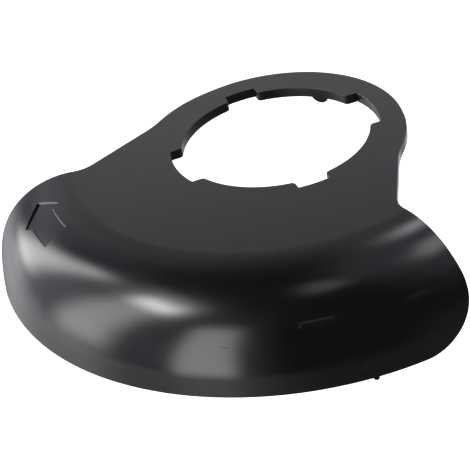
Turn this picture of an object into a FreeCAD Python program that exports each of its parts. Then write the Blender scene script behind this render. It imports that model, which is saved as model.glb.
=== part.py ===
import FreeCAD, Part
import math
import os
import Sketcher

# Guard for the cutting head of a garden trimmer, moulded in one piece.
# Frame: origin at the centre of the head ring, on its top face. +Z up, the
# hood hangs on the -Y side, +X to the right seen from the hood. Millimetres.

V = FreeCAD.Vector
doc = FreeCAD.newDocument("blade_guard")

# ---------------------------------------------------------------- dimensions
DIMS = [
    ("bore_radius", 40.0),        # lands that sit on the head's collar
    ("notch_radius", 44.65),      # bottom of the four bayonet notches
    ("wide_width", 28.0),         # a wide notch, side to side
    ("narrow_width", 13.5),       # a narrow notch
    ("wide_front", 315.65),       # angles from the hood's middle, + to the right
    ("wide_rear", 134.0),
    ("narrow_front", 45.0),
    ("narrow_rear", 225.25),
    ("land_corner", 1.9),         # round on the corners of the lands
    ("ring_radius", 54.75),       # outside of the ring
    ("ring_left", 0.4),           # the outline sits a little to the left of the bore
    ("ring_shift_x", 2.0),        # the ring's sides stand a little forward and out
    ("ring_shift_y", 2.8),
    ("neck_blend", 40.0),         # hollow between ring and neck
    ("neck_angle", 19.95),        # neck sides open towards the hood
    ("neck_left", 53.25),         # their distances from the bore axis
    ("neck_right", 52.35),
    ("neck_corner", 12.3),        # hollow between neck and hood end
    ("plate_thick", 4.2),
    ("hood_span", 121.16),        # angle between the hood's two ends
    ("hood_inner", 77.0),         # where the hood's section is joined to the plate
    ("shoulder_start", 86.48),    # flat top turns into the shoulder
    ("shoulder_radius", 38.12),
    ("wall_draft", 7.48),         # skirt leans out towards the rim
    ("hood_height", 40.6),
    ("hood_wall", 3.0),           # skirt; the shoulder thins from the plate to this
    ("end_round", 25.6),          # rounded rear ends of the rim
    ("edge_round", 0.45),         # outer edges
    ("bore_edge", 0.2),           # upper edge of the bore
    ("detent_radius", 4.3),       # half-round detent under the rear land
    ("detent_x", 3.0),
    ("detent_low", 6.6),
    ("detent_back", 49.0),
    ("pip_angle", 39.4),          # gate pip under the rim
    ("pip_at", 123.9),
    ("pip_radius", 1.2),
    ("pip_low", 1.5),
    ("pip_nose", 0.7),
    ("arrow_base", 10.6),         # direction arrow in the left shoulder: level of its outline
    ("arrow_draft", 4.0),         # its walls open upwards from there
    ("arrow_brow", 17.0),         # the wall over the upper half of its head leans more
    ("arrow_tip", 51.37),
    ("arrow_mid", 104.137),
    ("barb_in", 98.202),
    ("barb_in_at", 46.865),
    ("barb_out", 110.925),
    ("barb_out_at", 47.378),
    ("shaft_in", 99.061),
    ("shaft_out", 108.363),
    ("shaft_head_in", 46.57),
    ("shaft_head_out", 45.059),
    ("tail_in", 36.853),
    ("tail_out", 36.639),
    ("floor_at", 78.721),         # its floor, flatter than the shoulder: centre and radius
    ("floor_low", 54.05),
    ("floor_radius", 55.0),
    ("arrow_edge", 0.25),         # round on its upper edge
]
sheet = doc.addObject("Spreadsheet::Sheet", "Dims")
for row, (alias, value) in enumerate(DIMS, 1):
    sheet.set("A%d" % row, alias)
    sheet.set("B%d" % row, str(value))
    sheet.setAlias("B%d" % row, alias)
doc.recompute()


def dim(alias):
    return float(sheet.get(alias))


# ------------------------------------------------------------------- helpers
body = doc.addObject("PartDesign::Body", "blade_guard")


def plane(role, owner):
    return [o for o in owner.Origin.OriginFeatures if o.Role == role][0]


def new_sketch(name, role, offset=None, owner=body):
    sk = owner.newObject("Sketcher::SketchObject", name)
    sk.AttachmentSupport = [(plane(role, owner), "")]
    sk.MapMode = "FlatFace"
    if offset:
        sk.setExpression(".AttachmentOffset.Base.z", offset)
    return sk


def driven(sk, name, expr, *what):
    """A dimension of the sketch, bound to the sheet."""
    i = sk.addConstraint(Sketcher.Constraint(*what))
    sk.renameConstraint(i, name)
    sk.setExpression("Constraints." + name, expr)
    return i


def tie(sk, *what):
    return sk.addConstraint(Sketcher.Constraint(*what))


def line(sk, a, b, construction=False):
    return sk.addGeometry(Part.LineSegment(V(a[0], a[1], 0), V(b[0], b[1], 0)), construction)


def arc(sk, c, r, a0, a1, construction=False):
    """Arc drawn anticlockwise from a0 to a1, in degrees."""
    circle = Part.Circle(V(c[0], c[1], 0), V(0, 0, 1), r)
    return sk.addGeometry(Part.ArcOfCircle(circle, math.radians(a0), math.radians(a1)), construction)


def settle(sk):
    doc.recompute()
    state = sk.solve()
    if state != 0:
        raise RuntimeError("sketch %s does not solve, state %d" % (sk.Name, state))


def grown(feature, before, sign):
    """Recompute, and make sure the feature changed the body the right way."""
    doc.recompute()
    if "Invalid" in feature.State or feature.Shape.isNull():
        raise RuntimeError("%s failed" % feature.Name)
    change = feature.Shape.Volume - before
    if change * sign <= 0:
        raise RuntimeError("%s changed the volume by %.3f" % (feature.Name, change))
    return feature.Shape.Volume


def edges_where(shape, test):
    return ["Edge%d" % (i + 1) for i, e in enumerate(shape.Edges) if test(e)]


def polar(r, beta):
    """Point at radius r, angle beta from the hood's middle."""
    a = math.radians(beta)
    return (r * math.sin(a), -r * math.cos(a))


# --------------------------------------------------- ring and neck: flat plate
ring = dim("ring_radius")
x0 = -dim("ring_left")
sx, sy = dim("ring_shift_x"), -dim("ring_shift_y")
gam = math.radians(dim("neck_angle"))
half = dim("hood_span") / 2
blend = dim("neck_blend")
shift = math.degrees(math.atan2(sx, -sy))
front_r = dim("neck_left") / math.sin(math.radians(half) - gam)

sk = new_sketch("plate_outline", "XY_Plane")
rear = arc(sk, (x0, 0), ring, shift, 180 - shift)
tie(sk, "PointOnObject", rear, 3, -1)
driven(sk, "ring_at", "Dims.ring_left", "DistanceX", rear, 3, -1, 1, -x0)
driven(sk, "ring", "Dims.ring_radius", "Radius", rear, ring)
necks = {}
for name, sgn, off in (("right", 1, dim("neck_right")), ("left", -1, dim("neck_left"))):
    # everything is worked out for the right side and mirrored with sgn
    cx, cy = sgn * x0 + sx, sy
    near = off - (cx * math.cos(gam) + cy * math.sin(gam))
    run = math.sqrt((ring + blend) ** 2 - (near + blend) ** 2)
    phi = gam - math.atan2(run, near + blend)
    n1 = (ring * math.cos(math.radians(shift)), ring * math.sin(math.radians(shift)))
    bc = (cx + (ring + blend) * math.cos(phi), cy + (ring + blend) * math.sin(phi))
    t4 = (bc[0] - blend * math.cos(gam), bc[1] - blend * math.sin(gam))
    stop = polar(front_r, math.degrees(gam + math.asin(off / front_r)))
    d_phi, d_gam = math.degrees(phi), math.degrees(gam)
    flat = line(sk, (sgn * (sgn * x0 + n1[0]), n1[1]), (sgn * (cx + n1[0]), cy + n1[1]))
    if sgn > 0:
        bow = arc(sk, (cx, cy), ring, d_phi, shift)
        hollow = arc(sk, bc, blend, 180 + d_phi, 180 + d_gam)
        b_flat, b_hollow, h_bow, h_neck, r_end = 2, 1, 1, 2, 1
    else:
        bow = arc(sk, (-cx, cy), ring, 180 - shift, 180 - d_phi)
        hollow = arc(sk, (-bc[0], bc[1]), blend, -d_gam, -d_phi)
        b_flat, b_hollow, h_bow, h_neck, r_end = 1, 2, 2, 1, 2
    neck = line(sk, (sgn * t4[0], t4[1]), (sgn * stop[0], stop[1]))
    necks[name] = neck
    tie(sk, "Equal", rear, bow)
    driven(sk, "blend_" + name, "Dims.neck_blend", "Radius", hollow, blend)
    if sgn > 0:
        driven(sk, "shift_x_" + name, "Dims.ring_shift_x", "DistanceX", rear, 3, bow, 3, sx)
    else:
        driven(sk, "shift_x_" + name, "Dims.ring_shift_x", "DistanceX", bow, 3, rear, 3, sx)
    driven(sk, "shift_y_" + name, "Dims.ring_shift_y", "DistanceY", bow, 3, rear, 3, -sy)
    tie(sk, "Tangent", rear, r_end, flat, 1)
    tie(sk, "Tangent", flat, 2, bow, b_flat)
    tie(sk, "Tangent", bow, b_hollow, hollow, h_bow)
    tie(sk, "Tangent", hollow, h_neck, neck, 1)
    driven(sk, "neck_off_" + name, "Dims.neck_" + name, "Distance", -1, 1, neck, off)
    driven(sk, "neck_dir_" + name, "-(90 %s Dims.neck_angle) * 1 deg" % ("-" if sgn > 0 else "+"),
           "Angle", neck, math.radians(-(90 - sgn * d_gam)))
front = arc(sk, (0, 0), front_r, 270 - half, 270 + d_gam + math.degrees(math.asin(dim("neck_right") / front_r)))
tie(sk, "Coincident", front, 3, -1, 1)
tie(sk, "Coincident", front, 1, necks["left"], 2)
tie(sk, "Coincident", front, 2, necks["right"], 2)
driven(sk, "front", "Dims.neck_left / sin((Dims.hood_span / 2 - Dims.neck_angle) * 1 deg)", "Radius", front, front_r)
settle(sk)

plate = body.newObject("PartDesign::Pad", "plate")
plate.Profile = sk
plate.Reversed = True
plate.setExpression("Length", "Dims.plate_thick")
vol = grown(plate, 0.0, 1)

# ------------------------------------------------ hood: a turned sector of wall
ra, rho = dim("shoulder_start"), dim("shoulder_radius")
dr = math.radians(dim("wall_draft"))
hh, wall, thick = dim("hood_height"), dim("hood_wall"), dim("plate_thick")
inner = dim("hood_inner")
d_out = (ra + rho * math.cos(dr), -rho + rho * math.sin(dr))
e_out = (d_out[0] + (hh + d_out[1]) * math.tan(dr), -hh)
# inner arc: tangent to the plate's under side and to the inside of the skirt
rho_in = (rho - (rho - thick) * math.sin(dr) - wall) / (1 - math.sin(dr))
d_in = (ra + rho_in * math.cos(dr), -thick - rho_in + rho_in * math.sin(dr))
e_in = (d_in[0] + (hh + d_in[1]) * math.tan(dr), -hh)

sk = new_sketch("hood_section", "YZ_Plane")
top = line(sk, (-inner, 0), (-ra, 0))
o_arc = arc(sk, (-ra, -rho), rho, 90, 180 - math.degrees(dr))
o_wall = line(sk, (-d_out[0], d_out[1]), (-e_out[0], -hh))
rim = line(sk, (-e_out[0], -hh), (-e_in[0], -hh))
i_wall = line(sk, (-e_in[0], -hh), (-d_in[0], d_in[1]))
i_arc = arc(sk, (-ra, -thick - rho_in), rho_in, 90, 180 - math.degrees(dr))
under = line(sk, (-ra, -thick), (-inner, -thick))
back = line(sk, (-inner, -thick), (-inner, 0))
tie(sk, "PointOnObject", top, 1, -1)
tie(sk, "Horizontal", top)
tie(sk, "Tangent", top, 2, o_arc, 1)
tie(sk, "Tangent", o_arc, 2, o_wall, 1)
tie(sk, "Coincident", o_wall, 2, rim, 1)
tie(sk, "Horizontal", rim)
tie(sk, "Coincident", rim, 2, i_wall, 1)
tie(sk, "Tangent", i_wall, 2, i_arc, 2)
tie(sk, "Parallel", o_wall, i_wall)
tie(sk, "Tangent", i_arc, 1, under, 1)
tie(sk, "Horizontal", under)
tie(sk, "Coincident", under, 2, back, 1)
tie(sk, "Coincident", back, 2, top, 1)
tie(sk, "Vertical", back)
driven(sk, "inner", "Dims.hood_inner", "DistanceX", top, 1, -1, 1, inner)
driven(sk, "shoulder_at", "Dims.shoulder_start", "DistanceX", top, 2, -1, 1, ra)
driven(sk, "shoulder_in", "Dims.shoulder_start", "DistanceX", under, 1, -1, 1, ra)
driven(sk, "shoulder_r", "Dims.shoulder_radius", "Radius", o_arc, rho)
driven(sk, "tall", "Dims.hood_height", "DistanceY", rim, 1, -1, 1, hh)
driven(sk, "rim_at", "Dims.shoulder_start + Dims.shoulder_radius * cos(Dims.wall_draft * 1 deg)"
       " + (Dims.hood_height - Dims.shoulder_radius + Dims.shoulder_radius * sin(Dims.wall_draft * 1 deg)) * tan(Dims.wall_draft * 1 deg)",
       "DistanceX", rim, 1, -1, 1, e_out[0])
driven(sk, "thick", "Dims.plate_thick", "DistanceY", under, 2, -1, 1, thick)
driven(sk, "skirt", "Dims.hood_wall", "Distance", i_wall, 1, o_wall, wall)
settle(sk)

hood = body.newObject("PartDesign::Revolution", "hood")
hood.Profile = sk
hood.ReferenceAxis = (sk, ["V_Axis"])
hood.Midplane = True
hood.setExpression("Angle", "Dims.hood_span * 1 deg")
vol = grown(hood, vol, 1)

# ------------------------------------------- rounded rear ends of the hood's rim
big = dim("end_round")
for name, sign in (("end_left", 1), ("end_right", -1)):
    sk = new_sketch(name + "_corner", "XZ_Plane")
    sk.AttachmentOffset = FreeCAD.Placement(V(0, 0, 0), FreeCAD.Rotation(V(0, 1, 0), 1))
    sk.setExpression(".AttachmentOffset.Rotation.Angle", "%sDims.hood_span / 2 * 1 deg" % ("-" if sign > 0 else ""))
    mid = (sign * big, big - hh)
    curve = arc(sk, mid, big, 180, 270) if sign > 0 else arc(sk, mid, big, 270, 360)
    at_end, at_rim = (1, 2) if sign > 0 else (2, 1)
    c0 = line(sk, (sign * big, -hh), (sign * big, -hh - 5))
    c1 = line(sk, (sign * big, -hh - 5), (-sign * 5, -hh - 5))
    c2 = line(sk, (-sign * 5, -hh - 5), (-sign * 5, big - hh))
    c3 = line(sk, (-sign * 5, big - hh), (0, big - hh))
    tie(sk, "Coincident", curve, at_rim, c0, 1)
    tie(sk, "Coincident", c0, 2, c1, 1)
    tie(sk, "Coincident", c1, 2, c2, 1)
    tie(sk, "Coincident", c2, 2, c3, 1)
    tie(sk, "Coincident", c3, 2, curve, at_end)
    tie(sk, "Vertical", c0)
    tie(sk, "Horizontal", c1)
    tie(sk, "Vertical", c2)
    tie(sk, "Horizontal", c3)
    tie(sk, "Horizontal", curve, 3, curve, at_end)
    tie(sk, "Vertical", curve, 3, curve, at_rim)
    tie(sk, "PointOnObject", curve, at_end, -2)
    driven(sk, "round", "Dims.end_round", "Radius", curve, big)
    driven(sk, "centre_z", "Dims.hood_height - Dims.end_round", "DistanceY", curve, 3, -1, 1, hh - big)
    driven(sk, "below", "Dims.hood_height + 5", "DistanceY", c1, 1, -1, 1, hh + 5)
    if sign > 0:
        driven(sk, "beyond", "5", "DistanceX", c2, 1, -1, 1, 5)
    else:
        driven(sk, "beyond", "5", "DistanceX", -1, 1, c2, 1, 5)
    settle(sk)
    cut = body.newObject("PartDesign::Pocket", name)
    cut.Profile = sk
    cut.Reversed = True
    cut.setExpression("Length", "Dims.shoulder_start + 2 * Dims.shoulder_radius")
    vol = grown(cut, vol, -1)
    corner = polar((e_out[0] + e_in[0]) / 2, -sign * (half - 1))
    if cut.Shape.isInside(V(corner[0], corner[1], 0.5 - hh), 0.01, True):
        raise RuntimeError("%s left its corner standing" % name)

# ------------------------------------------------ half-round detent, rear land
low, d_r, d_x = dim("detent_low"), dim("detent_radius"), dim("detent_x")
d_top = -thick / 2
d_mid = -low + d_r
d_half = math.sqrt(d_r ** 2 - (d_top - d_mid) ** 2)
d_ang = math.degrees(math.asin((d_top - d_mid) / d_r))
sk = new_sketch("detent_section", "XZ_Plane")
bow = arc(sk, (d_x, d_mid), d_r, 180 - d_ang, 360 + d_ang)
chord = line(sk, (d_x + d_half, d_top), (d_x - d_half, d_top))
tie(sk, "Coincident", bow, 2, chord, 1)
tie(sk, "Coincident", chord, 2, bow, 1)
tie(sk, "Horizontal", chord)
driven(sk, "bow_r", "Dims.detent_radius", "Radius", bow, d_r)
driven(sk, "bow_x", "Dims.detent_x", "DistanceX", -1, 1, bow, 3, d_x)
driven(sk, "bow_z", "Dims.detent_low - Dims.detent_radius", "DistanceY", bow, 3, -1, 1, -d_mid)
driven(sk, "chord_z", "Dims.plate_thick / 2", "DistanceY", chord, 1, -1, 1, -d_top)
settle(sk)
detent = body.newObject("PartDesign::Pad", "detent")
detent.Profile = sk
detent.Reversed = True
detent.setExpression("Length", "Dims.detent_back")
vol = grown(detent, vol, 1)
if detent.Shape.BoundBox.YMax < ring - 0.01 or detent.Shape.BoundBox.YMin > -ring:
    raise RuntimeError("the detent points the wrong way")

# --------------------------------------------------------- gate pip, under rim
at = polar(dim("pip_at"), dim("pip_angle"))
sk = new_sketch("pip_circle", "XY_Plane", "-(Dims.hood_height - 0.6)")
dot = sk.addGeometry(Part.Circle(V(at[0], at[1], 0), V(0, 0, 1), dim("pip_radius")), False)
driven(sk, "pip_r", "Dims.pip_radius", "Radius", dot, dim("pip_radius"))
driven(sk, "pip_x", "Dims.pip_at * sin(Dims.pip_angle * 1 deg)", "DistanceX", -1, 1, dot, 3, at[0])
driven(sk, "pip_y", "Dims.pip_at * cos(Dims.pip_angle * 1 deg)", "DistanceY", dot, 3, -1, 1, -at[1])
settle(sk)
pip = body.newObject("PartDesign::Pad", "gate_pip")
pip.Profile = sk
pip.Reversed = True
pip.setExpression("Length", "Dims.pip_low + 0.6")
vol = grown(pip, vol, 1)

# ------------------------------------------------------------- bore and notches
sk = new_sketch("bore_circle", "XY_Plane")
ring_in = sk.addGeometry(Part.Circle(V(0, 0, 0), V(0, 0, 1), dim("bore_radius")), False)
tie(sk, "Coincident", ring_in, 3, -1, 1)
driven(sk, "bore_r", "Dims.bore_radius", "Radius", ring_in, dim("bore_radius"))
settle(sk)
bore = body.newObject("PartDesign::Pocket", "bore")
bore.Profile = sk
bore.SideType = "Symmetric"
bore.setExpression("Length", "8 * Dims.plate_thick")
vol = grown(bore, vol, -1)

r_lo = dim("bore_radius") - 10
r_hi = dim("notch_radius")
for name, mid, width in (
    ("notch_a", "wide_front", "wide_width"),
    ("notch_b", "narrow_front", "narrow_width"),
    ("notch_c", "wide_rear", "wide_width"),
    ("notch_d", "narrow_rear", "narrow_width"),
):
    # drawn with its middle on -Y, then turned about the bore axis
    w = dim(width) / 2
    a = math.degrees(math.asin(w / r_hi))
    y = -math.sqrt(r_hi ** 2 - w ** 2)
    sk = new_sketch(name + "_shape", "XY_Plane")
    sk.AttachmentOffset = FreeCAD.Placement(V(0, 0, 0), FreeCAD.Rotation(V(0, 0, 1), 1))
    sk.setExpression(".AttachmentOffset.Rotation.Angle", "Dims.%s * 1 deg" % mid)
    floor_arc = arc(sk, (0, 0), r_hi, 270 - a, 270 + a)
    s_r = line(sk, (w, y), (w, -r_lo))
    back = line(sk, (w, -r_lo), (-w, -r_lo))
    s_l = line(sk, (-w, -r_lo), (-w, y))
    tie(sk, "Coincident", floor_arc, 3, -1, 1)
    tie(sk, "Coincident", floor_arc, 2, s_r, 1)
    tie(sk, "Coincident", s_r, 2, back, 1)
    tie(sk, "Coincident", back, 2, s_l, 1)
    tie(sk, "Coincident", s_l, 2, floor_arc, 1)
    tie(sk, "Vertical", s_r)
    tie(sk, "Horizontal", back)
    tie(sk, "Vertical", s_l)
    driven(sk, "notch_r", "Dims.notch_radius", "Radius", floor_arc, r_hi)
    driven(sk, "right", "Dims.%s / 2" % width, "DistanceX", -1, 1, s_r, 2, w)
    driven(sk, "left", "Dims.%s / 2" % width, "DistanceX", s_l, 1, -1, 1, w)
    driven(sk, "reach", "Dims.bore_radius - 10", "DistanceY", s_r, 2, -1, 1, r_lo)
    settle(sk)
    cut = body.newObject("PartDesign::Pocket", name)
    cut.Profile = sk
    cut.SideType = "Symmetric"
    cut.setExpression("Length", "8 * Dims.plate_thick")
    vol = grown(cut, vol, -1)

# ------------------------------------- direction arrow sunk in the left shoulder
# The arrow is a body of its own: its walls are drafted, it is trimmed to its
# floor, and is then taken out of the shoulder.
core = doc.addObject("PartDesign::Body", "arrow_core")
sk = new_sketch("arrow_outline", "XY_Plane", "-Dims.arrow_base", core)
tip = polar(dim("arrow_mid"), -dim("arrow_tip"))
barb_i = polar(dim("barb_in"), -dim("barb_in_at"))
barb_o = polar(dim("barb_out"), -dim("barb_out_at"))
hi = polar(dim("shaft_in"), -dim("shaft_head_in"))
ho = polar(dim("shaft_out"), -dim("shaft_head_out"))
ti = polar(dim("shaft_in"), -dim("tail_in"))
to = polar(dim("shaft_out"), -dim("tail_out"))
a_in = arc(sk, (0, 0), dim("shaft_in"), -dim("shaft_head_in") - 90, -dim("tail_in") - 90)
a_out = arc(sk, (0, 0), dim("shaft_out"), -dim("shaft_head_out") - 90, -dim("tail_out") - 90)
tail = line(sk, ti, to)
neck_o = line(sk, ho, barb_o)
head_o = line(sk, barb_o, tip)
head_i = line(sk, tip, barb_i)
neck_i = line(sk, barb_i, hi)
for a, i, b, j in (
    (a_in, 2, tail, 1), (tail, 2, a_out, 2), (a_out, 1, neck_o, 1), (neck_o, 2, head_o, 1),
    (head_o, 2, head_i, 1), (head_i, 2, neck_i, 1), (neck_i, 2, a_in, 1),
):
    tie(sk, "Coincident", a, i, b, j)
tie(sk, "Coincident", a_in, 3, -1, 1)
tie(sk, "Coincident", a_out, 3, -1, 1)
driven(sk, "shaft_i", "Dims.shaft_in", "Radius", a_in, dim("shaft_in"))
driven(sk, "shaft_o", "Dims.shaft_out", "Radius", a_out, dim("shaft_out"))
for key, g, end, r, b, both in (
    ("head_in", a_in, 1, "shaft_in", "shaft_head_in", False),
    ("tail_in", a_in, 2, "shaft_in", "tail_in", False),
    ("head_out", a_out, 1, "shaft_out", "shaft_head_out", False),
    ("tail_out", a_out, 2, "shaft_out", "tail_out", False),
    ("tip", head_o, 2, "arrow_mid", "arrow_tip", True),
    ("barb_o", head_o, 1, "barb_out", "barb_out_at", True),
    ("barb_i", head_i, 2, "barb_in", "barb_in_at", True),
):
    p = polar(dim(r), -dim(b))
    driven(sk, key + "_x", "Dims.%s * sin(Dims.%s * 1 deg)" % (r, b), "DistanceX", g, end, -1, 1, -p[0])
    if both:
        driven(sk, key + "_y", "Dims.%s * cos(Dims.%s * 1 deg)" % (r, b), "DistanceY", g, end, -1, 1, -p[1])
settle(sk)
block = core.newObject("PartDesign::Pad", "arrow_block")
block.Profile = sk
block.setExpression("Length", "Dims.arrow_base - 0.4")
core_vol = grown(block, 0.0, 1)


def arrow_walls(shape, brow):
    """The block's upright faces: the one over the upper half of the head, or the rest."""
    names = []
    for k, f in enumerate(shape.Faces):
        flat = f.Surface.TypeId == "Part::GeomPlane"
        n, c = f.normalAt(0, 0), f.CenterOfMass
        if flat and abs(n.z) > 0.9:
            continue
        foot = -dim("arrow_base")
        over = flat and all(abs(n.dot(V(p[0], p[1], foot) - c)) < 1e-3 for p in (tip, barb_i))
        if over == brow:
            names.append("Face%d" % (k + 1))
    return names


def arrow_foot(shape):
    return ["Face%d" % (k + 1) for k, f in enumerate(shape.Faces)
            if abs(f.CenterOfMass.z + dim("arrow_base")) < 1e-4]


for name, angle, brow in (("arrow_sides", "arrow_draft", False), ("arrow_brow", "arrow_brow", True)):
    lean = core.newObject("PartDesign::Draft", name)
    lean.Base = (block, arrow_walls(block.Shape, brow))
    lean.NeutralPlane = (block, arrow_foot(block.Shape))
    lean.Reversed = True
    lean.setExpression("Angle", "Dims.%s * 1 deg" % angle)
    core_vol = grown(lean, core_vol, 1)
    block = lean

f_at, f_low, f_r = dim("floor_at"), dim("floor_low"), dim("floor_radius")
near_r, far_r = dim("barb_in") - 8, dim("barb_out") + 5


def floor_level(r):
    return -f_low + math.sqrt(f_r ** 2 - (r - f_at) ** 2)


sk = new_sketch("arrow_floor", "YZ_Plane", None, core)
bed = arc(sk, (-f_at, -f_low), f_r, math.degrees(math.acos((f_at - near_r) / f_r)), math.degrees(math.acos((f_at - far_r) / f_r)))
down_far = line(sk, (-far_r, floor_level(far_r)), (-far_r, -hh))
base = line(sk, (-far_r, -hh), (-near_r, -hh))
up_near = line(sk, (-near_r, -hh), (-near_r, floor_level(near_r)))
tie(sk, "Coincident", bed, 2, down_far, 1)
tie(sk, "Coincident", down_far, 2, base, 1)
tie(sk, "Coincident", base, 2, up_near, 1)
tie(sk, "Coincident", up_near, 2, bed, 1)
tie(sk, "Vertical", down_far)
tie(sk, "Horizontal", base)
tie(sk, "Vertical", up_near)
driven(sk, "bed_r", "Dims.floor_radius", "Radius", bed, f_r)
driven(sk, "bed_at", "Dims.floor_at", "DistanceX", bed, 3, -1, 1, f_at)
driven(sk, "bed_low", "Dims.floor_low", "DistanceY", bed, 3, -1, 1, f_low)
driven(sk, "far", "Dims.barb_out + 5", "DistanceX", base, 1, -1, 1, far_r)
driven(sk, "near", "Dims.barb_in - 8", "DistanceX", base, 2, -1, 1, near_r)
driven(sk, "deep", "Dims.hood_height", "DistanceY", base, 1, -1, 1, hh)
settle(sk)
trim = core.newObject("PartDesign::Groove", "arrow_trim")
trim.Profile = sk
trim.ReferenceAxis = (sk, ["V_Axis"])
trim.Midplane = True
trim.setExpression("Angle", "Dims.hood_span * 1 deg")
core_vol = grown(trim, core_vol, -1)

arrow = body.newObject("PartDesign::Boolean", "arrow")
arrow.Type = "Cut"
arrow.setObjects([core])
vol = grown(arrow, vol, -1)

# ---------------------------------------------------------------------- rounds
tip_feature = arrow


def rounded(name, radius, test):
    global tip_feature, vol
    names = edges_where(tip_feature.Shape, test)
    if not names:
        raise RuntimeError("no edges for %s" % name)
    f = body.newObject("PartDesign::Fillet", name)
    f.Base = (tip_feature, names)
    f.setExpression("Radius", "Dims." + radius)
    doc.recompute()
    if "Invalid" in f.State or f.Shape.isNull() or not f.Shape.isValid():
        raise RuntimeError("%s failed on %d edges" % (name, len(names)))
    print(name, len(names), "edges, volume", round(f.Shape.Volume - vol, 3))
    vol = f.Shape.Volume
    tip_feature = f
    return f


def ends(e):
    return [v.Point for v in e.Vertexes]


def beta(p):
    return math.degrees(math.atan2(p.x, -p.y))


def upright(e):
    p = ends(e)
    return len(p) == 2 and math.hypot(p[0].x - p[1].x, p[0].y - p[1].y) < 1e-4


def skin(r):
    """Height of the outer skin at radius r."""
    if r <= ra:
        return 0.0
    if r <= d_out[0]:
        return -rho + math.sqrt(rho ** 2 - (r - ra) ** 2)
    return d_out[1] - (r - d_out[0]) / math.tan(dr)


def on_skin(p):
    r = math.hypot(p.x, p.y)
    return abs(p.z - skin(r)) < 0.02 or (abs(r - e_out[0]) < 0.02 and abs(p.z + hh) < 0.02)


def sharp(e):
    """True where the two faces of an edge meet at an angle."""
    faces = tip_feature.Shape.ancestorsOfType(e, Part.Face)
    if len(faces) != 2:
        return False
    p = e.valueAt((e.FirstParameter + e.LastParameter) / 2)
    n = [f.normalAt(*f.Surface.parameter(p)) for f in faces]
    return abs(n[0].dot(n[1])) < 0.9


def along(e, count=5):
    lo, hi_ = e.FirstParameter, e.LastParameter
    return [e.valueAt(lo + (hi_ - lo) * i / (count - 1)) for i in range(count)]


def outline(e):
    pts = along(e)
    if not all(on_skin(p) and math.hypot(p.x, p.y) > 50 for p in pts):
        return False
    if all(p.x < 0 and 90 < math.hypot(p.x, p.y) < 113 and 35 < -beta(p) < 54 for p in pts):
        return False
    return sharp(e)


def arrow_top(e):
    return all(on_skin(p) and 90 < math.hypot(p.x, p.y) < 113 and 35 < -beta(p) < 54 for p in along(e)) and sharp(e)


def bore_top(e):
    return all(abs(p.z) < 1e-4 and math.hypot(p.x, p.y) < dim("notch_radius") + 0.1 for p in along(e)) and sharp(e)


rounded("arrow_edges", "arrow_edge", arrow_top)
rounded("neck_corners", "neck_corner", lambda e: upright(e) and all(
    79 < math.hypot(p.x, p.y) < 83 and abs(beta(p)) > 55 for p in ends(e)))
rounded("land_corners", "land_corner", lambda e: upright(e) and all(
    abs(math.hypot(p.x, p.y) - dim("bore_radius")) < 0.01 for p in ends(e)))
rounded("outline_rounds", "edge_round", outline)
rounded("bore_rounds", "bore_edge", bore_top)
rounded("pip_nose", "pip_nose", lambda e: e.Closed and all(abs(p.z + hh + dim("pip_low")) < 1e-4 for p in along(e)))

body.Tip = tip_feature
doc.recompute()

# ---------------------------------------------------------------------- output
for o in doc.Objects:
    if "Invalid" in o.State or "Error" in o.State:
        raise RuntimeError("%s is in state %s" % (o.Name, o.State))
    if o.isDerivedFrom("PartDesign::Feature") and (o.Shape.isNull() or not o.Shape.isValid()):
        raise RuntimeError("%s has no valid shape" % o.Name)
shape = body.Shape
if shape.isNull() or not shape.isValid() or len(shape.Solids) != 1:
    raise RuntimeError("the guard is not one valid solid")
print("volume cm3", round(shape.Volume / 1000, 3), "box", shape.BoundBox, "faces", len(shape.Faces))
os.makedirs("parts", exist_ok=True)
body.Label = "blade_guard"
shape.exportStep("parts/blade_guard.step")
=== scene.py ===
import math

import bpy
import numpy as np
from mathutils import Matrix, Vector

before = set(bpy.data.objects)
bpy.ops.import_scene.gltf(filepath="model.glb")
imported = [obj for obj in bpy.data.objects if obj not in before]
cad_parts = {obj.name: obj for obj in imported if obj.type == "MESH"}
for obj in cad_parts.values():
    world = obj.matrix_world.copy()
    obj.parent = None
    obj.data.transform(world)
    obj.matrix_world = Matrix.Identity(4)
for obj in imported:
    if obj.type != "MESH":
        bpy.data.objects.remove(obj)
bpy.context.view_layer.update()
scene = bpy.context.scene
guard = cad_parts["blade_guard"]

# The guard's own section, in millimetres: flat top, shoulder arc, drafted skirt.
SHOULDER_AT, SHOULDER_R = 86.48, 38.12
DRAFT = math.radians(7.48)
HOOD_WALL, PLATE = 3.0, 4.2
INNER_R = (SHOULDER_R - (SHOULDER_R - PLATE) * math.sin(DRAFT) - HOOD_WALL) / (1 - math.sin(DRAFT))


# ------------------------------------------------------------------- normals
def section_normal(r, z, radius, top):
    """Outward normal (radial, up) and distance of the skin through (r, z)."""
    mid = top - radius
    end_r, end_z = SHOULDER_AT + radius * math.cos(DRAFT), mid + radius * math.sin(DRAFT)
    nr, nz, off = np.zeros_like(r), np.ones_like(r), np.abs(z - top)
    arc = (r > SHOULDER_AT) & (z > end_z)
    d = np.hypot(r - SHOULDER_AT, z - mid)
    safe = np.maximum(d, 1e-6)
    nr = np.where(arc, (r - SHOULDER_AT) / safe, nr)
    nz = np.where(arc, (z - mid) / safe, nz)
    off = np.where(arc, np.abs(d - radius), off)
    wall = (r > SHOULDER_AT) & (z <= end_z)
    nr = np.where(wall, math.cos(DRAFT), nr)
    nz = np.where(wall, math.sin(DRAFT), nz)
    off = np.where(wall, np.abs((r - end_r) * math.cos(DRAFT) + (z - end_z) * math.sin(DRAFT)), off)
    return nr, nz, off


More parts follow.
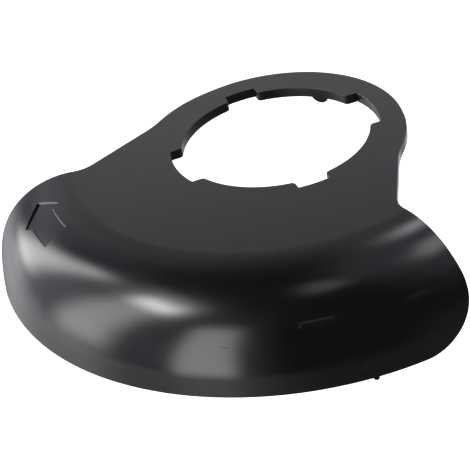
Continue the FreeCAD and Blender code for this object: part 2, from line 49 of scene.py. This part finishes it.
def true_normals(obj):
    """Smooth shading from the real surfaces, without touching a vertex."""
    me = obj.data
    co = np.empty(len(me.vertices) * 3, np.float32)
    me.vertices.foreach_get("co", co)
    co = co.reshape(-1, 3).astype(float) * 1000
    tri = np.empty(len(me.loops), np.int32)
    me.loops.foreach_get("vertex_index", tri)
    tri = tri.reshape(-1, 3)
    p = co[tri]
    flat = np.cross(p[:, 1] - p[:, 0], p[:, 2] - p[:, 0])
    flat /= np.maximum(np.linalg.norm(flat, axis=1), 1e-12)[:, None]
    face = np.repeat(flat, 3, axis=0)
    weight = np.empty((len(tri), 3))
    for k in range(3):
        a, b = p[:, (k + 1) % 3] - p[:, k], p[:, (k + 2) % 3] - p[:, k]
        c = (a * b).sum(1) / np.maximum(np.linalg.norm(a, axis=1) * np.linalg.norm(b, axis=1), 1e-12)
        weight[:, k] = np.arccos(np.clip(c, -1, 1))
    weight = weight.ravel()
    spot = co[tri.ravel()]
    key = np.unique(np.round(spot, 3), axis=0, return_inverse=True)[1].ravel()
    order = np.argsort(key, kind="stable")
    starts = np.flatnonzero(np.r_[True, np.diff(key[order]) > 0, True])
    normal = np.empty_like(face)
    for lo, hi in zip(starts[:-1], starts[1:]):
        ids = order[lo:hi]
        near = (face[ids] @ face[ids].T) > 0.84
        normal[ids] = near.astype(float) @ (face[ids] * weight[ids][:, None])
    normal /= np.maximum(np.linalg.norm(normal, axis=1), 1e-12)[:, None]
    r = np.hypot(spot[:, 0], spot[:, 1])
    u = spot[:, :2] / np.maximum(r, 1e-6)[:, None]
    for radius, top, side in ((SHOULDER_R, 0.0, 1), (INNER_R, -PLATE, -1)):
        nr, nz, off = section_normal(r, spot[:, 2], radius, top)
        real = np.c_[u * nr[:, None], nz] * side
        on = (off < 0.02) & ((real * face).sum(1) > 0.9)
        normal[on] = real[on]
    me.polygons.foreach_set("use_smooth", np.ones(len(me.polygons), bool))
    me.normals_split_custom_set([Vector(n) for n in normal])
    me.update()


# ----------------------------------------------------------- moulded black plastic
def plastic():
    mat = bpy.data.materials.new("guard_plastic")
    mat.use_nodes = True
    nt = mat.node_tree
    nt.nodes.clear()
    link = nt.links.new

    def node(kind, **values):
        n = nt.nodes.new(kind)
        for k, v in values.items():
            setattr(n, k, v)
        return n

    def noise(scale, detail, vector, rough=0.5):
        n = node("ShaderNodeTexNoise")
        n.inputs["Scale"].default_value = scale
        n.inputs["Detail"].default_value = detail
        n.inputs["Roughness"].default_value = rough
        link(vector, n.inputs["Vector"])
        return n.outputs["Fac"]

    def ramp(fac, lo, hi, a, b):
        n = node("ShaderNodeMapRange", interpolation_type="SMOOTHSTEP")
        for key, v in (("From Min", lo), ("From Max", hi), ("To Min", a), ("To Max", b)):
            n.inputs[key].default_value = v
        link(fac, n.inputs["Value"])
        return n.outputs["Result"]

    def add(a, b, op="ADD"):
        n = node("ShaderNodeMath", operation=op)
        link(a, n.inputs[0])
        if isinstance(b, (int, float)):
            n.inputs[1].default_value = b
        else:
            link(b, n.inputs[1])
        return n.outputs[0]

    out = node("ShaderNodeOutputMaterial")
    bsdf = node("ShaderNodeBsdfPrincipled")
    link(bsdf.outputs["BSDF"], out.inputs["Surface"])
    bsdf.inputs["IOR"].default_value = 1.5
    at = node("ShaderNodeTexCoord").outputs["Object"]

    # scuffs: long thin marks in two directions
    def scuffs(turn, scale):
        m = node("ShaderNodeMapping")
        m.inputs["Rotation"].default_value = turn
        m.inputs["Scale"].default_value = scale
        link(at, m.inputs["Vector"])
        return ramp(noise(1.0, 2.0, m.outputs["Vector"], 0.6), 0.66, 0.74, 0.0, 1.0)

    marks = add(scuffs((0.2, 0.1, 0.5), (45, 1100, 900)), scuffs((0.1, -0.3, 1.9), (38, 1300, 1000)), "MAXIMUM")
    blotch = noise(38, 3.0, at)
    cloud = noise(9, 2.0, at)
    grain = noise(2600, 2.0, at)

    # where on the guard: height, distance from the bore axis, angle from the hood's middle
    split = node("ShaderNodeSeparateXYZ")
    link(at, split.inputs[0])
    x, y, z = split.outputs
    reach = add(add(add(x, x, "MULTIPLY"), add(y, y, "MULTIPLY")), 0.5, "POWER")
    angle = add(add(x, add(y, -1.0, "MULTIPLY"), "ARCTAN2"), 180 / math.pi, "MULTIPLY")

    def near(value, mid, half, soft):
        off = add(add(value, -mid), 0.0, "ABSOLUTE")
        return ramp(off, half + soft, half - soft, 0.0, 1.0)

    # wear along the rim that meets the ground, and on the rounds of the plate's edges
    lean = node("ShaderNodeSeparateXYZ")
    link(node("ShaderNodeNewGeometry").outputs["Normal"], lean.inputs[0])
    rim = ramp(z, -0.0394, -0.0404, 0.0, 1.0)
    edge = add(ramp(lean.outputs[2], 0.97, 0.80, 0.0, 1.0), ramp(z, -0.0006, -0.0002, 0.0, 1.0), "MULTIPLY")
    patchy = ramp(noise(420, 3.0, at, 0.6), 0.42, 0.68, 0.0, 1.0)
    wear = add(add(rim, edge, "MAXIMUM"), patchy, "MULTIPLY")
    # the bore's wall is duller, rubbed by the collar that turns in it
    rubbed = add(ramp(reach, 0.0454, 0.0449, 0.0, 1.0), near(lean.outputs[2], 0.0, 0.45, 0.20), "MULTIPLY")

    # one short scratch on the front of the skirt, a painted highlight (a thin pale streak of reflected light with a
    # hooked end) on the right of the shoulder, one speck near the rim
    slope = add(z, add(add(angle, -13.4), 0.00026, "MULTIPLY"))
    scratch = add(near(slope, -0.02035, 0.00024, 0.00020), near(angle, 13.55, 0.95, 0.35), "MULTIPLY")
    scratch = add(scratch, ramp(reach, 0.1184, 0.1190, 0.0, 1.0), "MULTIPLY")
    # painted highlight: a thin pale line along the shoulder where a streak of reflected light shows, with its hooked
    # end below
    pale = add(near(z, -0.01456, 0.00032, 0.00028), near(angle, 31.0, 3.2, 1.0), "MULTIPLY")
    painted_streak_hook = add(angle, add(add(z, 0.01454), -309.5, "MULTIPLY"))
    painted_streak_hook = add(near(painted_streak_hook, 27.80, 0.30, 0.26), near(z, -0.01525, 0.00080, 0.0005), "MULTIPLY")
    pale = add(add(pale, painted_streak_hook, "MAXIMUM"), ramp(reach, 0.1130, 0.1140, 0.0, 1.0), "MULTIPLY")
    gap = node("ShaderNodeVectorMath", operation="DISTANCE")
    gap.inputs[1].default_value = (0.07616, -0.09854, -0.03521)
    link(at, gap.inputs[0])
    speck = ramp(gap.outputs["Value"], 0.00055, 0.00025, 0.0, 1.0)

    # colour: near black, a little bluer in places, greyer where it is scuffed, pale grey at the speck and along the
    # painted highlight streak
    tone = node("ShaderNodeMix", data_type="RGBA")
    tone.inputs[6].default_value = (0.0024, 0.0025, 0.0028, 1)
    tone.inputs[7].default_value = (0.0040, 0.0041, 0.0044, 1)
    link(ramp(cloud, 0.3, 0.7, 0.0, 1.0), tone.inputs[0])
    worn = node("ShaderNodeMix", data_type="RGBA")
    worn.inputs[7].default_value = (0.012, 0.012, 0.0125, 1)
    link(tone.outputs[2], worn.inputs[6])
    link(add(add(marks, 0.25, "MULTIPLY"), add(wear, 0.35, "MULTIPLY")), worn.inputs[0])
    # pale grey at the speck, a real mark, and along the painted highlight streak on the shoulder
    speck_and_painted_streak = node("ShaderNodeMix", data_type="RGBA")
    speck_and_painted_streak.inputs[7].default_value = (0.030, 0.030, 0.031, 1)
    link(worn.outputs[2], speck_and_painted_streak.inputs[6])
    link(add(speck, add(pale, 0.55, "MULTIPLY"), "MAXIMUM"), speck_and_painted_streak.inputs[0])
    link(speck_and_painted_streak.outputs[2], bsdf.inputs["Base Color"])

    # gloss: satin, a little patchy, duller on the scuffs
    gloss = add(ramp(blotch, 0.25, 0.75, 0.170, 0.195), add(marks, 0.012, "MULTIPLY"))
    gloss = add(gloss, add(add(wear, 0.05, "MULTIPLY"), add(scratch, 0.10, "MULTIPLY")))
    gloss = add(gloss, add(rubbed, 0.13, "MULTIPLY"))
    link(gloss, bsdf.inputs["Roughness"])

    # surface: slight waviness of the moulding, a fine grain, scuffs
    wave = noise(48, 1.0, at)
    height = add(add(wave, 1.0, "MULTIPLY"), add(grain, 0.02, "MULTIPLY"))
    height = add(height, add(marks, -0.03, "MULTIPLY"))
    height = add(height, add(add(wear, -0.02, "MULTIPLY"), add(scratch, -0.008, "MULTIPLY")))
    bump = node("ShaderNodeBump")
    bump.inputs["Strength"].default_value = 0.35
    bump.inputs["Distance"].default_value = 0.00008
    link(height, bump.inputs["Height"])
    link(bump.outputs["Normal"], bsdf.inputs["Normal"])
    return mat


true_normals(guard)
guard.data.materials.clear()
guard.data.materials.append(plastic())

# ---------------------------------------------------------------- camera
cam_data = bpy.data.cameras.new("camera")
cam_data.sensor_width = 36.0
cam_data.sensor_fit = "HORIZONTAL"
cam_data.lens = 147.63
cam_data.clip_start, cam_data.clip_end = 0.01, 50
camera = bpy.data.objects.new("camera", cam_data)
scene.collection.objects.link(camera)
axes = (Vector((0.89388, 0.41991, -0.15707)), Vector((-0.11146, 0.54751, 0.82934)), Vector((0.43424, -0.72382, 0.53621)))
turn = Matrix((axes[0], axes[1], axes[2])).transposed()
camera.matrix_world = Matrix.Translation(Vector((0.34075, -0.61542, 0.40176))) @ turn.to_4x4()
scene.camera = camera

# ---------------------------------------------------------------- floor
FLOOR_Z = -0.62
floor_mesh = bpy.data.meshes.new("floor")
floor_mesh.from_pydata([(-6, -6, FLOOR_Z), (6, -6, FLOOR_Z), (6, 6, FLOOR_Z), (-6, 6, FLOOR_Z)], [], [(0, 1, 2, 3)])
floor = bpy.data.objects.new("floor", floor_mesh)
scene.collection.objects.link(floor)
floor_mat = bpy.data.materials.new("pale_floor")
floor_mat.use_nodes = True
pale = floor_mat.node_tree.nodes["Principled BSDF"]
pale.inputs["Base Color"].default_value = (0.93, 0.93, 0.93, 1)
pale.inputs["Roughness"].default_value = 0.9
pale.inputs["Specular IOR Level"].default_value = 0.0
pale.inputs["Emission Color"].default_value = (1, 1, 1, 1)
pale.inputs["Emission Strength"].default_value = 0.6
floor_mesh.materials.append(floor_mat)
floor.visible_glossy = False
floor.visible_diffuse = False

# ---------------------------------------------------------------- studio light
# Soft boxes and backdrop all round the guard, by direction. Azimuth is counted
# from -Y towards +X. Columns: glow, azimuth, half width, soft edge, elevation,
# half height, soft edge, slant and taper (degrees of azimuth and of half width
# per degree of elevation), tint. A negative glow is a black card.
LIGHTS = [
    ("key", 20.177, -46.08, 12.89, 6.33, 48.33, 3.73, 6.92, -0.098, 0.104, "warm"),
    ("left_tall", 4.651, -55.58, 11.28, 6.68, 17.19, 26.17, 11.97, 0.212, -0.026, "plain"),
    ("front_tall", 4.394, -8.77, 10.26, 2.27, 10.46, 27.61, 6.54, 0.040, -0.045, "plain"),
    ("left_far", 5.700, -93.00, 6.31, 5.62, 24.28, 23.13, 4.43, 0.323, -0.044, "warm"),
    ("low_left", 0.891, -85.75, 32.81, 13.53, -21.47, 11.38, 8.33, 0.230, 0.200, "plain"),
    ("low_front", 0.947, -30.47, 44.11, 21.62, -22.60, 4.60, 5.20, -0.203, -0.168, "pale"),
    ("fill_left", 0.468, -61.44, 62.63, 31.69, 19.40, 36.45, 11.15, -0.078, -0.142, "cool"),
    ("fill_gap", 0.385, -86.68, 15.02, 3.56, 17.36, 31.79, 5.09, 0.263, 0.125, "cool"),
    ("back_left", 0.341, -165.56, 47.91, 9.05, 2.60, 50.11, 28.50, -0.035, -0.077, "pale"),
    ("overhead", 1.299, 53.53, 22.09, 5.68, 78.91, 6.71, 3.53, 0.202, 0.199, "warm"),
    ("halo", 2.435, -51.46, 16.10, 19.92, 55.91, 5.56, 2.03, -0.206, -0.198, "warm"),
    ("low_right", 0.166, 57.65, 36.38, 5.79, -23.86, 7.87, 11.22, 0.173, -0.140, "cool"),
    ("zenith", -0.020, 0.00, 400.00, 1.00, 97.22, 18.52, 16.02, 0.000, 0.000, "cool"),
    ("back_fill", 0.400, 137.34, 53.10, 20.48, 60.27, 22.05, 4.93, -0.190, -0.057, "cool"),
    ("left_low", 0.991, -100.35, 7.18, 4.94, -1.86, 7.45, 4.16, 0.219, -0.200, "plain"),
    ("left_back", 0.313, -105.36, 9.83, 4.73, -12.49, 11.30, 8.05, -0.195, 0.071, "pale"),
    ("rear_low", 0.138, -143.58, 34.53, 4.85, 28.38, 9.91, 14.23, 0.092, 0.093, "plain"),
    ("plate_rear", 0.203, -143.26, 61.27, 6.59, 24.08, 7.01, 4.97, 0.173, 0.173, "pale"),
    ("plate_dark", -0.160, -156.53, 25.32, 21.28, 34.25, 3.39, 2.75, -0.070, -0.071, "plain"),
    ("top_dark", -0.006, 0.00, 400.00, 1.00, 77.93, 13.78, 15.74, 0.000, 0.000, "cool"),
    ("right_dark", 0.025, 50.95, 48.70, 6.49, 12.06, 14.29, 14.94, 0.187, -0.181, "cool"),
    ("left_gap", -0.243, -120.40, 8.56, 4.80, 3.11, 12.18, 11.49, 0.425, 0.158, "plain"),
    ("front_gap", -0.095, 17.33, 11.36, 9.64, 11.44, 32.04, 6.46, -0.198, 0.141, "plain"),
    ("mid_gap", -0.192, -24.59, 5.01, 2.58, 22.96, 17.80, 16.00, 0.043, 0.130, "plain"),
    ("head_low", -0.225, -95.18, 14.73, 3.53, 41.76, 9.75, 3.55, 0.188, 0.199, "plain"),
    ("right_end", 0.183, 99.29, 11.79, 4.39, 32.72, 10.63, 9.98, 0.200, -0.184, "cool"),
    ("right_rim", 0.111, 83.36, 14.38, 11.98, -5.67, 8.94, 9.99, 0.198, -0.199, "cool"),
    ("key_low", 0.594, -38.09, 8.54, 2.46, 39.07, 6.37, 1.80, -0.200, -0.200, "warm"),
    ("neck_plate", 0.232, -153.19, 9.40, 2.79, 28.79, 1.76, 1.22, -0.146, -0.138, "pale"),
    ("left_cut", -0.262, -132.94, 9.75, 3.58, 22.58, 6.59, 2.27, -0.109, -0.195, "plain"),
    ("spot_under", 0.075, 30.00, 11.00, 4.00, 38.00, 4.00, 2.50, 0.000, 0.000, "cool"),
    ("spot_right", 1.300, 75.50, 3.60, 2.00, 31.40, 0.70, 0.60, 0.000, 0.000, "cool"),
    ("neck_low", 0.600, -171.00, 18.00, 8.00, -34.00, 7.00, 5.00, 0.000, 0.000, "pale"),
    ("back_mid", 6.900, -178.07, 7.19, 3.24, 54.80, 3.83, 4.96, -0.900, -0.220, "pale"),
    ("back_right", 3.250, 128.23, 15.13, 8.74, 59.15, 4.82, 2.85, 1.000, -0.019, "pale"),
    ("back_card", -3.000, 177.22, 6.37, 1.27, 51.63, 5.90, 1.20, -0.279, -0.496, "plain"),
    ("edge_right", 1.000, 157.00, 14.00, 7.00, 14.00, 17.00, 8.00, 0.000, 0.000, "pale"),
    ("bore_fill", 0.360, 124.00, 22.00, 12.00, -34.00, 7.00, 4.00, 0.000, 0.000, "pale"),
    ("bore_rear", -0.450, -40.00, 38.00, 10.00, -34.50, 5.00, 3.00, 0.000, 0.000, "plain"),
]
BASE = 0.066
TINTS = {"plain": (1.0, 1.0, 1.0), "warm": (1.010, 1.0, 0.965), "pale": (0.985, 1.0, 1.035), "cool": (0.965, 1.0, 1.12)}

world = bpy.data.worlds.new("studio")
scene.world = world
world.use_nodes = True
wn = world.node_tree
wn.nodes.clear()


def w_math(op, a, b=None, c=None, clamp=False):
    n = wn.nodes.new("ShaderNodeMath")
    n.operation = op
    n.use_clamp = clamp
    for i, v in enumerate((a, b, c)):
        if v is None:
            continue
        if isinstance(v, (int, float)):
            n.inputs[i].default_value = v
        else:
            wn.links.new(v, n.inputs[i])
    return n.outputs[0]


def w_edge(x, lo, hi):
    """Soft step from 0 to 1 between lo and hi."""
    n = wn.nodes.new("ShaderNodeMapRange")
    n.interpolation_type = "SMOOTHSTEP"
    n.inputs["From Min"].default_value = lo
    n.inputs["From Max"].default_value = hi
    wn.links.new(x, n.inputs["Value"])
    return n.outputs["Result"]


w_out = wn.nodes.new("ShaderNodeOutputWorld")
w_bg = wn.nodes.new("ShaderNodeBackground")
wn.links.new(w_bg.outputs[0], w_out.inputs[0])
w_dir = wn.nodes.new("ShaderNodeTexCoord")
w_unit = wn.nodes.new("ShaderNodeVectorMath")
w_unit.operation = "NORMALIZE"
wn.links.new(w_dir.outputs["Generated"], w_unit.inputs[0])
w_xyz = wn.nodes.new("ShaderNodeSeparateXYZ")
wn.links.new(w_unit.outputs[0], w_xyz.inputs[0])
w_x, w_y, w_z = w_xyz.outputs
DEG = 180 / math.pi
w_el = w_math("MULTIPLY", w_math("ARCSINE", w_z), DEG)
w_az = w_math("MULTIPLY", w_math("ARCTAN2", w_x, w_math("MULTIPLY", w_y, -1.0)), DEG)
w_sums = {"cool": BASE}
for name, glow, az, az_half, az_soft, el, el_half, el_soft, slant, taper, tint in LIGHTS:
    # azimuth from the panel's own middle, brought into -180..180
    turn = w_math("SUBTRACT", w_az, az)
    if slant:
        turn = w_math("MULTIPLY_ADD", w_math("SUBTRACT", w_el, el), -slant, turn)
    turn = w_math("WRAP", turn, 180.0, -180.0)
    side = w_math("ABSOLUTE", turn)
    climb = w_math("SUBTRACT", w_el, el)
    if taper:
        side = w_math("MULTIPLY_ADD", climb, -taper, side)
    part = w_edge(w_math("ABSOLUTE", climb), el_half + el_soft, el_half - el_soft)
    if az_half < 180:
        part = w_math("MULTIPLY", part, w_edge(side, az_half + az_soft, az_half - az_soft))
    w_sums[tint] = w_math("MULTIPLY_ADD", part, glow, w_sums.get(tint, 0.0))
w_colour = None
for tint, total in w_sums.items():
    n = wn.nodes.new("ShaderNodeVectorMath")
    n.operation = "MULTIPLY_ADD"
    wn.links.new(total, n.inputs[0])
    n.inputs[1].default_value = TINTS[tint]
    if w_colour:
        wn.links.new(w_colour, n.inputs[2])
    else:
        n.inputs[2].default_value = (0.0, 0.0, 0.0)
    w_colour = n.outputs[0]
wn.links.new(w_colour, w_bg.inputs[0])
w_bg.inputs[1].default_value = 1.0
world.cycles.sampling_method = "MANUAL"
world.cycles.sample_map_resolution = 2048

scene.view_settings.view_transform = "Standard"
scene.view_settings.look = "None"
